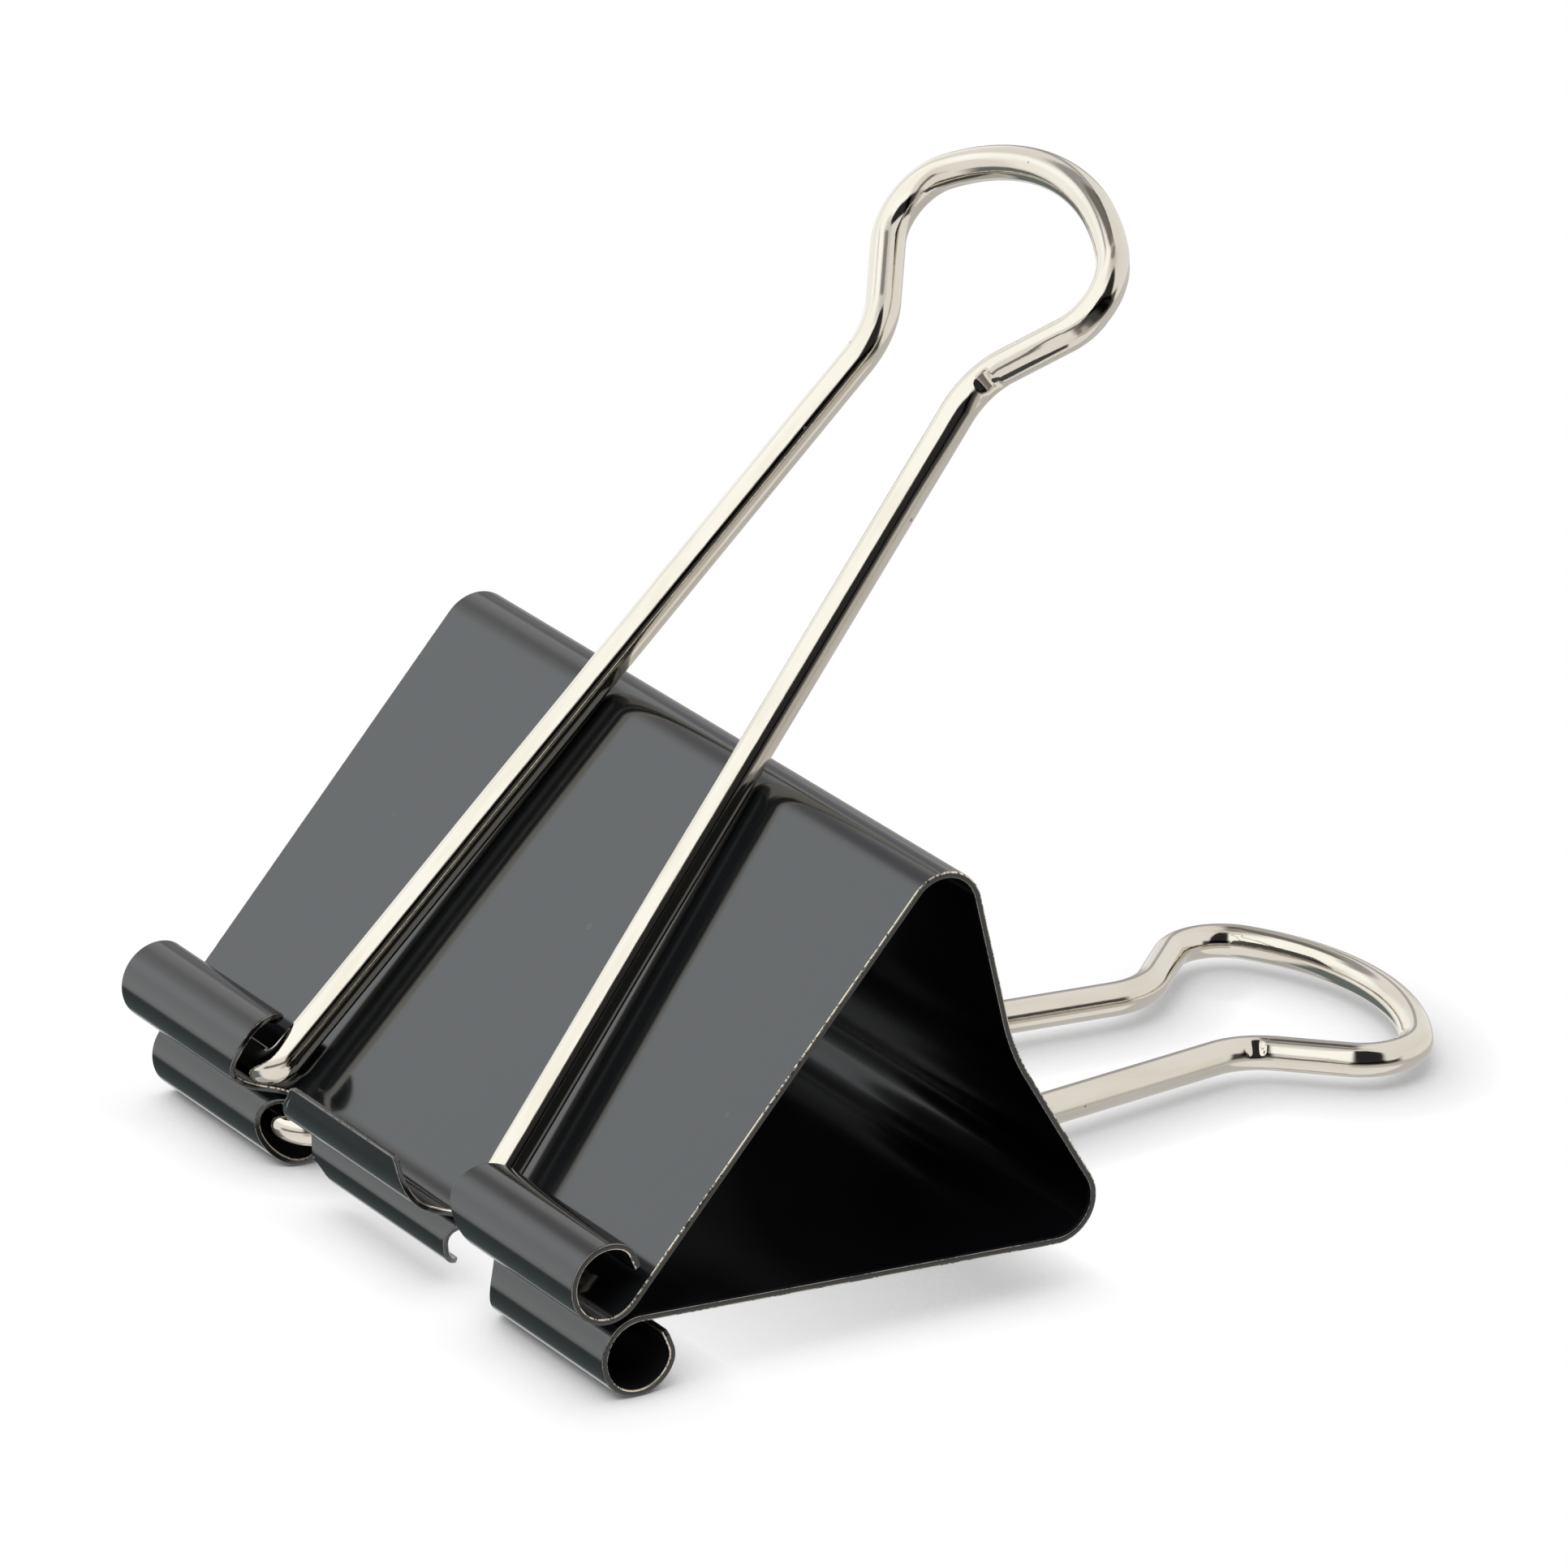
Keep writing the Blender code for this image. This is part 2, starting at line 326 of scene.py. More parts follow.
def tab_blank(inset):
    """Right tab: rows from the level of the slots to the tip, from the inner edge to the side."""
    share = tab_rows[:, None]
    inner = tab_side(SLOT_LEVEL + share * (tube_length - SLOT_LEVEL)) + inset
    short = rounded_end((1 - tab_share) * (HALF_WIDTH - TAB_ROOT), TAB_OUTER_CORNER)
    run = SLOT_LEVEL + share * (tube_length - inset - SLOT_LEVEL) - share * short
    return np.stack([inner + tab_share * (HALF_WIDTH - inset - inner), run], axis=-1)


def lip_blank(inset, lip):
    """Lip: it narrows from its root to its end, and each end corner has a radius of its own."""
    length = lip["curl_radius"] * lip["curl"] + lip["tail"]
    side = LIP_ROOT - (LIP_ROOT - lip["end"]) * lip_rows ** LIP_TAPER - inset
    gap = (1 - np.abs(lip_share)) * lip["end"]
    left, right = lip["corners"]
    short = np.where(lip_share < 0, rounded_end(gap, left), rounded_end(gap, right))
    run = SLOT_LEVEL + lip_rows[:, None] * (length - inset - short - SLOT_LEVEL)
    return np.stack([side[:, None] * lip_share, run], axis=-1)


def blank(inset, lip):
    """Across-place and developed length past the wall of every grid point, with all cut edges moved
    inwards by the inset. Parts in order: main grid, right tab, left tab, lip."""
    tabs = tab_blank(inset)
    mirrored = tabs[:, ::-1] * np.array([-1.0, 1.0])
    parts = (main_blank(inset), tabs, mirrored, lip_blank(inset, lip))
    return np.concatenate([part.reshape(-1, 2) for part in parts])


print("a slot is", round(TAB_NARROW - LIP_ROOT, 2), "mm wide at its narrow part")

# %% [markdown]
# ## Point numbers
# The four grids share their seams: the first row of a tab or lip is the last row of the main grid.
# The cut edge is one walk round all of them, up the right side, round the right tab, the slot, the
# lip, the other slot and the left tab, and back down the left side.

# %% Point numbers and the path of the cut edge
main_grid = np.arange((len(back_rows) + len(root_rows)) * column_count).reshape(-1, column_count)


def joined(columns, rows, first):
    """Point numbers of a lip or tab grid: its first row is the last row of the main grid."""
    new = first + np.arange(rows * len(columns)).reshape(rows, len(columns))
    return np.concatenate([main_grid[-1:, columns], new])


def round_the(grid):
    """Walk round three sides of a lip or tab: up its right side, over its end and down its left."""
    return [grid[1:, -1], grid[-1, -2::-1], grid[-2:0:-1, 0]]


right_grid = joined(right_tab, len(tab_rows), main_grid.size)
left_grid = joined(left_tab, len(tab_rows), right_grid[-1, -1] + 1)
lip_grid = joined(lip_columns, len(lip_rows), left_grid[-1, -1] + 1)
point_count = lip_grid[-1, -1] + 1
right_slot = main_grid[-1, right_tab[0]:lip_columns[-1] - 1:-1]
left_slot = main_grid[-1, lip_columns[0]:left_tab[-1] - 1:-1]
cut_path = np.concatenate([main_grid[:, -1], *round_the(right_grid), right_slot, *round_the(lip_grid),
                           left_slot, *round_the(left_grid), main_grid[::-1, 0]])
print(point_count, "grid points, and the cut edge runs through", len(cut_path))

# %% [markdown]
# ## Rolling the blank and rounding its cut edge
# A flat point and a height above the middle of the steel become a place in the clip. The two faces of
# the sheet are the grid at half a thickness above and below. Between them a small profile is carried
# along the cut edge: a soft roll-over on the outer side, where the punch pulled the steel in, and a
# sharper corner on the inner side. A last ring just inside each rounding keeps the faces flat.

# %% Edge profile and rolling
EDGE_BAND = 0.3
OUTER_ROUND = 0.12
INNER_ROUND = 0.09
EDGE_SUPPORT = 0.03
ROUND_STEPS = 6


def edge_profile():
    """(inset, height) pairs from the outer face round the cut edge to the inner face, with a quarter
    circle at each side."""
    half = SHEET / 2
    turn = np.linspace(0.0, math.pi / 2, ROUND_STEPS)
    sine, cosine = np.sin(turn), np.cos(turn)
    outer = np.stack([OUTER_ROUND * (1 - sine), half - OUTER_ROUND * (1 - cosine)], axis=1)
    inner = np.stack([INNER_ROUND * (1 - cosine), INNER_ROUND * (1 - sine) - half], axis=1)
    first = [(OUTER_ROUND + EDGE_SUPPORT, half)]
    last = [(INNER_ROUND + EDGE_SUPPORT, -half)]
    return np.concatenate([first, outer, inner, last])


def rolled(points, height, lip, flip):
    """Place of blank points: the profile point at the developed length, moved along the normal of the
    profile by the height. Under the slots the curl of the lip goes over into the curl of the tabs."""
    lip_runs = back_runs + [(lip["curl_radius"] * lip["curl"], -lip["curl"]), (lip["tail"], 0.0)]
    share = np.clip((np.abs(points[:, :1]) - LIP_ROOT) / (TAB_NARROW - LIP_ROOT), 0.0, 1.0)
    places = []
    for runs in (lip_runs, tube_runs):
        place, heading = profile(points[:, 1] + back_length, runs)
        normal = np.stack([np.sin(heading), -np.cos(heading)], axis=1)
        places.append(place + start_shift + normal * height)
    place = places[0] * (1 - smooth(share)) + places[1] * smooth(share)
    return to_world(points[:, 0], place[:, 0], place[:, 1] * flip)


print("the edge is rounded by", len(edge_profile()), "rings")

# %% [markdown]
# ## The two halves of the body
# The upper half is the fold as drawn and the lower half its mirror image, each with a lip of its own.
# They meet at the middle of the back, where a flat cap closes each shell. Three marks are kept for the
# paint: where the rounded edge is proud, so that the lacquer wears off, where the cut is, and where
# the outer face of a tab has become the bore of a tube.

# %% Sheet shells
OUTER_RINGS = slice(2, 6)
INNER_RINGS = slice(9, 11)
CUT_RINGS = slice(4, 10)
INNER_WEAR = 0.6
BORE_FROM_ROW = 6


def sheet_half(name, lip, flip):
    """Closed shell of half the body: outer face, inner face, cut-edge strips and a cap on the middle
    of the back. A mirrored half turns its faces round, so that they look outwards again."""
    rings = edge_profile()
    face = blank(EDGE_BAND, lip)
    points = [rolled(face, SHEET / 2, lip, flip), rolled(face, -SHEET / 2, lip, flip)]
    points += [rolled(blank(inset, lip)[cut_path], height, lip, flip) for inset, height in rings]
    faces = [quads(grid) for grid in (main_grid, right_grid, left_grid, lip_grid)]
    faces += [cells[:, ::-1] + point_count for cells in faces]
    ring_numbers = 2 * point_count + np.arange(len(rings) * len(cut_path)).reshape(len(rings), -1)
    strip = np.concatenate([cut_path[None], ring_numbers, cut_path[None] + point_count])
    faces.append(quads(strip)[:, ::-1])
    first = main_grid[0]
    cap = np.concatenate([first, strip[1:, 0], first[-2::-1] + point_count, strip[-2:0:-1, -1]])
    if flip < 0:
        faces = [cells[:, ::-1] for cells in faces]
        cap = cap[::-1]
    total = 2 * point_count + ring_numbers.size
    marks = {name: np.zeros(total) for name in ("arris", "cut", "bore")}
    marks["arris"][ring_numbers[OUTER_RINGS]] = 1.0
    marks["arris"][ring_numbers[INNER_RINGS]] = INNER_WEAR
    marks["cut"][ring_numbers[CUT_RINGS]] = 1.0
    marks["bore"][np.concatenate([right_grid[BORE_FROM_ROW:], left_grid[BORE_FROM_ROW:]])] = 1.0
    sharp = np.zeros(total, bool)
    sharp[cap] = True
    all_faces = [row for cells in faces for row in cells] + [cap]
    return add_mesh(name, np.concatenate(points), all_faces, marks, sharp=sharp)


upper_sheet = sheet_half("upper_sheet", UPPER_LIP, 1.0)
lower_sheet = sheet_half("lower_sheet", LOWER_LIP, -1.0)

# %% [markdown]
# ## The sheet in place of the jaws
# On the real clip the steel bends at the back corners when the jaws open. Here each half keeps the
# shape it was built in, and the imported solids that it replaces are hidden. The upper half also
# stands in for the back's own solid.


for piece, jaw, nodes, flip in ((upper_sheet, "upper_jaw", ("upper_jaw", "spring_back"), 1.0),
                                (lower_sheet, "lower_jaw", ("lower_jaw",), -1.0)):
    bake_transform(piece)
    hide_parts(*nodes)

# %% [markdown]
# ## The wire handles
# A handle is one length of wire: a foot in each tube, two legs that close in to a neck, and an open
# eye to pull on. The middle line lies in one plane, with x across and the reach from the feet, and is
# a run of straights and tangent arcs. Only half of its corners are written down, because the other
# half mirrors them. The first stations at each end lie close together, so that the cut end can be
# rounded.

# %% Handle middle line
WIRE_RADIUS = 1.03
FOOT_END = 20.5
HEEL_X, HEEL_ROUND = 11.55, 1.6
FOOT_PLAY = 0.82
HANDLE_REACH = 66.8
EYE_LENGTH = 12.8
NECK_REACH = HANDLE_REACH - EYE_LENGTH
NECK_X, NECK_ROUND = 5.04, 4.7
SHOULDER_X, SHOULDER_ROUND = 12.09, 3.54
CROWN_SLOPE, CROWN_ROUND = math.radians(34.8), 15.3
ARC_STEP = math.radians(2.5)
STRAIGHT_STEP = 0.7
END_STATIONS = np.array([0.0, 0.03, 0.09, 0.2, 0.3])[:, None]

crown_apex = HANDLE_REACH + CROWN_ROUND * (1 / math.cos(CROWN_SLOPE) - 1)
shoulder_reach = crown_apex - SHOULDER_X * math.tan(CROWN_SLOPE)
half_wire = [(FOOT_END, -FOOT_PLAY, 0.0), (HEEL_X, -FOOT_PLAY, HEEL_ROUND),
             (NECK_X, NECK_REACH, NECK_ROUND), (SHOULDER_X, shoulder_reach, SHOULDER_ROUND)]
other_half = [(-x, reach, radius) for x, reach, radius in half_wire[::-1]]
wire_corners = half_wire + [(0.0, crown_apex, CROWN_ROUND)] + other_half


def corner_arc(before, corner, after, radius):
    """Points of the arc that touches both sides of a corner: it starts radius times the tangent of half
    the turn before the corner, and goes round a centre to the side of the way in."""
    into = (corner - before) / np.linalg.norm(corner - before)
    out = (after - corner) / np.linalg.norm(after - corner)
    turn = math.atan2(into[0] * out[1] - into[1] * out[0], into @ out)
    start = corner - into * radius * math.tan(abs(turn) / 2)
    to_centre = np.array([-into[1], into[0]]) * math.copysign(radius, turn)
    steps = max(4, math.ceil(abs(turn) / ARC_STEP))
    angle = np.linspace(0.0, turn, steps + 1)[:, None]
    return start + to_centre - to_centre * np.cos(angle) + into * radius * np.sin(np.abs(angle))


def wire_line(corners):
    """Points of the middle line: an arc at each corner and even steps on the straights between."""
    spots = [np.array(corner[:2]) for corner in corners]
    radii = [corner[2] for corner in corners]
    arcs = [corner_arc(*spots[k - 1:k + 2], radii[k]) for k in range(1, len(spots) - 1)]
    pieces, last = [], spots[0]
    for arc in arcs + [spots[-1][None]]:
        steps = max(2, round(np.linalg.norm(arc[0] - last) / STRAIGHT_STEP))
        pieces.append(last + (arc[0] - last) * (np.arange(steps) / steps)[:, None])
        pieces.append(arc[:-1])
        last = arc[-1]
    return np.concatenate(pieces + [last[None]])


line = wire_line(wire_corners)
inwards = END_STATIONS * [1.0, 0.0]
line = np.concatenate([line[0] - inwards, line[1:-1], line[-1] + inwards[::-1]])
wire_run = np.concatenate([[0.0], np.cumsum(np.linalg.norm(np.diff(line, axis=0), axis=1))])
print("the wire is", round(wire_run[-1], 1), "mm long, with", len(line), "stations")

# %% [markdown]
# ## Marks of the bending tool
# The jaws of the bending machine left small flats and ridges on the neck, the shoulder and the crown,
# and they catch the light in the photograph. A flat is a chord of the round section, so only the
# radius has to change. Each mark has a place along the wire, a half length, the way it faces round
# the wire in degrees, a depth, a fade at its ends and, where it is wavy, the length of one ridge.

# %% Radius of the wire
AROUND = 56
END_ROUND = 0.25
END_TAPER = 0.6
LEAST_COSINE = 0.3
RIDGE_MEAN, RIDGE_SWING = 0.75, 0.25


def run_near(x, reach):
    """Length along the wire at which the middle line passes closest to a point of the handle's plane."""
    return wire_run[np.argmin(np.linalg.norm(line - np.array([x, reach]), axis=1))]


def wire_radius(tool_marks):
    """Radius at each station and angle. At an angle t from the middle of a flat the surface lies at
    (radius - depth) / cos t, where that is less than the radius. The cut ends are rounded off."""
    angle = np.arange(AROUND) * 2 * math.pi / AROUND
    radius = np.full((len(line), AROUND), WIRE_RADIUS)
    for at, half, facing, depth, fade, ridge in tool_marks:
        share = smooth(np.clip((half - np.abs(wire_run - at)) / fade + 0.5, 0.0, 1.0))
        if ridge > 0:
            share = share * (RIDGE_MEAN + RIDGE_SWING * np.cos(2 * math.pi * wire_run / ridge))
        lean = np.maximum(np.cos(angle - math.radians(facing)), LEAST_COSINE)
        radius = np.minimum(radius, (WIRE_RADIUS - depth * share)[:, None] / lean)
    from_end = np.minimum(wire_run, wire_run[-1] - wire_run)
    rounded = 1 - np.sqrt(1 - np.clip(1 - from_end / END_ROUND, 0.0, 1.0) ** 2)
    return radius - END_TAPER * END_ROUND * rounded[:, None]


neck_mark = run_near(5.3, NECK_REACH + 0.6)
UPPER_MARKS = [(neck_mark, 0.5, 36.0, 0.22, 0.15, 0.0),
               (neck_mark + 0.75, 0.22, -2.0, 0.13, 0.15, 0.0),
               (neck_mark - 0.8, 0.22, -14.0, 0.09, 0.15, 0.0),
               (run_near(11.2, 58.6), 1.1, 34.0, 0.06, 0.5, 0.0),
               (run_near(11.6, 60.2), 1.0, 26.0, 0.07, 0.4, 0.0),
               (run_near(9.6, 57.2), 1.0, 40.0, 0.05, 0.5, 0.0),
               (run_near(8.6, 64.9), 5.2, -36.0, 0.16, 2.0, 0.0),
               (run_near(-9.6, 62.2), 1.7, 200.0, 0.10, 0.6, 0.32),
               (run_near(9.0, 25.0), 24.0, 2.0, 0.035, 6.0, 0.0)]
LOWER_MARKS = [(neck_mark, 0.5, 42.0, 0.17, 0.15, 0.0),
               (run_near(11.2, 59.0), 1.6, 30.0, 0.05, 1.0, 0.0)]
print("tool marks on the handles:", len(UPPER_MARKS), "and", len(LOWER_MARKS))

# %% [markdown]
# ## Laying the handles in their tubes
# The feet are loose in the tubes, so a handle never lies quite straight: it is moved across and
# within the bore, turned in its own plane about the eye, and rolled a little. These small amounts
# were read from the photograph, as angles in degrees and shifts in millimetres. They fade out
# towards the feet, which stay level in their bores, so that the feet have room at every swing. A
# circle of the wire's radius is then carried along the middle line.

# %% Wire handles
EYE_CENTRE = 60.0
LIE_FROM_FEET = 20.0
UPPER_LIE = {"angle": 25.09, "across": -0.42, "skew": 0.30, "shift": (0.457, -0.227), "roll": 0.27}
LOWER_LIE = {"angle": -23.60, "across": -0.62, "skew": 0.90, "shift": (0.24, 0.225), "roll": 0.0}


def laid(angle):
    """World direction of an angle in degrees in the clip's plane."""
    turn = math.radians(angle)
    return np.concatenate([[0.0], math.cos(turn) * back + math.sin(turn) * away])


def wire_handle(name, joint, lie, tool_marks):
    """Tube round the middle line: a point at the angle a is the line's point plus the radius times
    cos a along the in-plane normal and sin a along the normal of the handle's plane. The skew, the
    roll and the move across are weighted by a soft step of the reach. The wire run and the share of a
    turn are kept as its UV."""
    skew, roll = math.radians(lie["skew"]), math.radians(lie["roll"])
    way = np.gradient(line, wire_run, axis=0)
    way /= np.linalg.norm(way, axis=1)[:, None]
    normal = np.stack([way[:, 1], -way[:, 0]], axis=1)
    angle = np.arange(AROUND) * 2 * math.pi / AROUND
    radius = wire_radius(tool_marks)
    flat = line[:, None] + (radius * np.cos(angle))[..., None] * normal[:, None]
    x, reach = flat[..., 0], flat[..., 1]
    share = smooth(np.clip(reach / LIE_FROM_FEET, 0.0, 1.0))
    turn_x = x * (math.cos(skew) - 1) - (reach - EYE_CENTRE) * math.sin(skew)
    turn_reach = x * math.sin(skew) + (reach - EYE_CENTRE) * (math.cos(skew) - 1)
    across = x + share * (turn_x + lie["across"])
    reach = reach + share * turn_reach
    rise = radius * np.sin(angle) + share * x * roll
    pivot = joint_at[joint] + np.array([0.0, *lie["shift"]])
    points = pivot + across[..., None] * np.array([1.0, 0.0, 0.0])
    points = points + reach[..., None] * laid(lie["angle"]) + rise[..., None] * laid(lie["angle"] + 90.0)
    numbers = np.arange(len(line) * AROUND).reshape(len(line), AROUND)
    wrapped = np.concatenate([numbers, numbers[:, :1]], axis=1)
    faces = list(quads(wrapped)) + [numbers[0], numbers[-1, ::-1]]
    uv = np.stack([np.repeat(wire_run, AROUND), np.tile(angle / (2 * math.pi), len(line))], axis=1)
    return add_mesh(name, points.reshape(-1, 3), faces, uv=uv)


upper_wire = wire_handle("upper_wire", "upper_handle_swing", UPPER_LIE, UPPER_MARKS)
lower_wire = wire_handle("lower_wire", "lower_handle_swing", LOWER_LIE, LOWER_MARKS)
for piece, node in ((upper_wire, "upper_handle"), (lower_wire, "lower_handle")):
    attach(piece, node)
    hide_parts(node)

# %% [markdown]
# ## Node helpers
# Materials and the studio are node trees. A few short helpers keep the later cells readable: one adds
# a node and sets or links its inputs, and the others are the nodes that come back most often.


# %% Node helpers
def fill(tree, sockets, values):
    """Set each input socket to a value, or link it to the output socket of another node."""
    for key, value in values.items():
        if isinstance(value, bpy.types.NodeSocket):
            tree.links.new(value, sockets[key])
        else:
            sockets[key].default_value = value


def add_node(tree, kind, inputs=None, **settings):
    """New node with its settings and inputs."""
    made = tree.nodes.new(kind)
    for key, value in settings.items():
        setattr(made, key, value)
    fill(tree, made.inputs, inputs or {})
    return made


def calc(tree, operation, *values):
    """Output of a Math node."""
    return add_node(tree, "ShaderNodeMath", dict(enumerate(values)), operation=operation).outputs[0]


def ramp(tree, value, low, high, to_low=0.0, to_high=1.0):
    """Smooth step of a value between two ends."""
    inputs = {"Value": value, "From Min": low, "From Max": high, "To Min": to_low, "To Max": to_high}
    made = add_node(tree, "ShaderNodeMapRange", inputs, interpolation_type="SMOOTHSTEP")
    return made.outputs["Result"]


def noise(tree, vector, scale, detail=2.0, rough=0.5):
    """Value of a noise texture."""
    inputs = {"Vector": vector, "Scale": scale, "Detail": detail, "Roughness": rough}
    return add_node(tree, "ShaderNodeTexNoise", inputs).outputs["Fac"]


def mix_colour(tree, factor, first, second, blend="MIX"):
    """Mixed colour: inputs 0, 6 and 7 of a Mix node are its factor and its two colours."""
    inputs = {0: factor, 6: first, 7: second}
    return add_node(tree, "ShaderNodeMix", inputs, data_type="RGBA", blend_type=blend).outputs[2]


def new_group(name, inputs, outputs):
    """Empty shader group with float sockets; an input whose default is None is a vector."""
    group = bpy.data.node_groups.new(name, "ShaderNodeTree")
    for key, value in inputs.items():
        kind = "NodeSocketVector" if value is None else "NodeSocketFloat"
        socket = group.interface.new_socket(name=key, in_out="INPUT", socket_type=kind)
        if value is not None:
            socket.default_value = value
    for key in outputs:
        group.interface.new_socket(name=key, in_out="OUTPUT", socket_type="NodeSocketFloat")
    print("group", name, "gives", ", ".join(outputs))
    return group, group.nodes.new("NodeGroupInput").outputs, group.nodes.new("NodeGroupOutput").inputs


# %% [markdown]
# ## Worn edges
# On the real clip the lacquer is thin on the proud edge of the sheet, and handling has rubbed it off
# in tiny dashes, so that the steel glints through. Painting them by hand would take long and repeat
# badly. The group adds a fine and a broad noise, keeps the places where the sum is high, and lets
# them show only where the edge mark says so. It puts out a mask, so any material can use it.

# %% Edge wear group
WEAR_PATCH = 420.0
FINE_WEIGHT, BROAD_WEIGHT = 0.75, 0.6
WEAR_LEVEL = 1.15
WEAR_SOFT = (-0.04, 0.08)
EDGE_FROM, EDGE_TO = 0.35, 0.95

wear_group, given, result = new_group(
    "edge_wear", {"Vector": None, "Edge": 0.0, "Grain": 6000.0, "Amount": 0.5}, ["Mask"])
fine = noise(wear_group, given["Vector"], given["Grain"], detail=3.0, rough=0.6)
fine = calc(wear_group, "MULTIPLY", fine, FINE_WEIGHT)
broad = noise(wear_group, given["Vector"], WEAR_PATCH)
broad = calc(wear_group, "MULTIPLY", broad, BROAD_WEIGHT)
limit = calc(wear_group, "SUBTRACT", WEAR_LEVEL, given["Amount"])
above = calc(wear_group, "SUBTRACT", calc(wear_group, "ADD", fine, broad), limit)
at_edge = ramp(wear_group, given["Edge"], EDGE_FROM, EDGE_TO)
worn = calc(wear_group, "MULTIPLY", ramp(wear_group, above, *WEAR_SOFT), at_edge)
fill(wear_group, result, {"Mask": worn})

# %% [markdown]
# ## Specks
# Dust in the lacquer and pits in the plating are the same thing to a material: small round spots,
# few and of mixed sizes. A Voronoi texture scatters cells, its random colour picks a share of them
# and gives each one a size, and the spot is where the distance to the middle of the cell is less.

# %% Specks group
SMALLEST_SPECK = 0.3

speck_group, given, result = new_group(
    "specks", {"Vector": None, "Scale": 900.0, "Share": 0.06, "Size": 0.22}, ["Mask"])
cells = add_node(speck_group, "ShaderNodeTexVoronoi", {"Vector": given["Vector"], "Scale": given["Scale"]})
random = add_node(speck_group, "ShaderNodeSeparateXYZ", {0: cells.outputs["Color"]}).outputs
chosen = calc(speck_group, "LESS_THAN", random[0], given["Share"])
size = calc(speck_group, "MULTIPLY", given["Size"], calc(speck_group, "ADD", random[1], SMALLEST_SPECK))
within = calc(speck_group, "LESS_THAN", cells.outputs["Distance"], size)
fill(speck_group, result, {"Mask": calc(speck_group, "MULTIPLY", chosen, within)})

# %% [markdown]
# ## Handling marks
# A glossy black surface shows every touch. The smears are a noise that is stretched the way a thumb
# wipes, and they only change the gloss a little. The same group gives the faint orange peel that
# sprayed lacquer has, as a height for a bump.

# %% Handling marks group
WIPE_STRETCH = (1.0, 2.6, 1.6)
SMEAR_FROM, SMEAR_TO = 0.42, 0.78
PEEL_SCALE = 900.0
SMEAR_SCALE = 70.0

smear_group, given, result = new_group("handling_marks", {"Vector": None, "Scale": SMEAR_SCALE},
                                       ["Haze", "Peel"])
wiped = add_node(smear_group, "ShaderNodeMapping", {"Vector": given["Vector"], "Scale": WIPE_STRETCH})
smear = noise(smear_group, wiped.outputs[0], given["Scale"], detail=5.0, rough=0.62)
fill(smear_group, result, {"Haze": ramp(smear_group, smear, SMEAR_FROM, SMEAR_TO),
                           "Peel": noise(smear_group, given["Vector"], PEEL_SCALE)})

# %% [markdown]
# ## Drawn wire
# Wire is pulled through a die, which leaves long faint streaks along it, and nickel yellows in soft
# patches. Both follow the wire round its bends, so they are laid out in the wire's own UV: the length
# along it, and the share of a turn round it. The turn goes on a circle, which leaves no seam.

# %% Drawn wire group
STREAK_STRETCH = 0.16
STREAK_SCALE = 7.0
TARNISH_SCALE = 1.3
TARNISH_FROM, TARNISH_TO = 0.35, 0.75

drawn_group, given, result = new_group("drawn_wire", {"Along": 0.0, "Around": 0.0}, ["Streak", "Tarnish"])
turn = calc(drawn_group, "MULTIPLY", given["Around"], 2 * math.pi)
spot = add_node(drawn_group, "ShaderNodeCombineXYZ",
                {0: calc(drawn_group, "MULTIPLY", given["Along"], STREAK_STRETCH),
                 1: calc(drawn_group, "COSINE", turn),
                 2: calc(drawn_group, "SINE", turn)}).outputs[0]
patches = noise(drawn_group, spot, TARNISH_SCALE, detail=3.0)
streaks = noise(drawn_group, spot, STREAK_SCALE, detail=4.0, rough=0.6)
fill(drawn_group, result, {"Streak": streaks,
                           "Tarnish": ramp(drawn_group, patches, TARNISH_FROM, TARNISH_TO)})

# %% [markdown]
# ## Black lacquer
# The outside of the body is a stoved gloss lacquer over steel. Nearly all that shows of it is what it
# mirrors, so the base colour is almost black and the index of refraction is high. Where the edge is
# worn the steel is metal with a warm colour, and the bare cut is duller than the faces.


# %% Lacquer material
def new_material(name):
    """Node material with its tree and its Principled shader."""
    made = bpy.data.materials.new(name)
    made.use_nodes = True
    print("material", name)
    return made, made.node_tree, made.node_tree.nodes["Principled BSDF"]


def grouped(tree, group, inputs):
    """Outputs of a node group with the given inputs."""
    return add_node(tree, "ShaderNodeGroup", inputs, node_tree=group).outputs


def attribute(tree, name):
    """Value of a mark on the mesh."""
    return add_node(tree, "ShaderNodeAttribute", attribute_name=name).outputs["Fac"]


def bumped(tree, height, distance, strength):
    """Normal of a bump map."""
    inputs = {"Height": height, "Distance": distance, "Strength": strength}
    return add_node(tree, "ShaderNodeBump", inputs).outputs[0]


LACQUER = (0.0070, 0.0078, 0.0086, 1)
LACQUER_SMEARED = (0.0090, 0.0100, 0.0110, 1)
DUST = (0.06, 0.06, 0.06, 1)
BARE_STEEL = (0.78, 0.70, 0.58, 1)
LACQUER_INDEX = 1.8
LACQUER_ROUGH = 0.10
SMEAR_ROUGH, CUT_ROUGH, WORN_ROUGH = 0.04, 0.06, 0.2
PEEL_HEIGHT, WORN_DEPTH = 0.05, 0.8
PEEL_BUMP = (0.000004, 0.6)
WEAR = {"Grain": 4200.0, "Amount": 0.53}
DUST_SPECKS = {"Scale": 700.0, "Share": 0.05, "Size": 0.12}
DUST_STRENGTH = 0.5

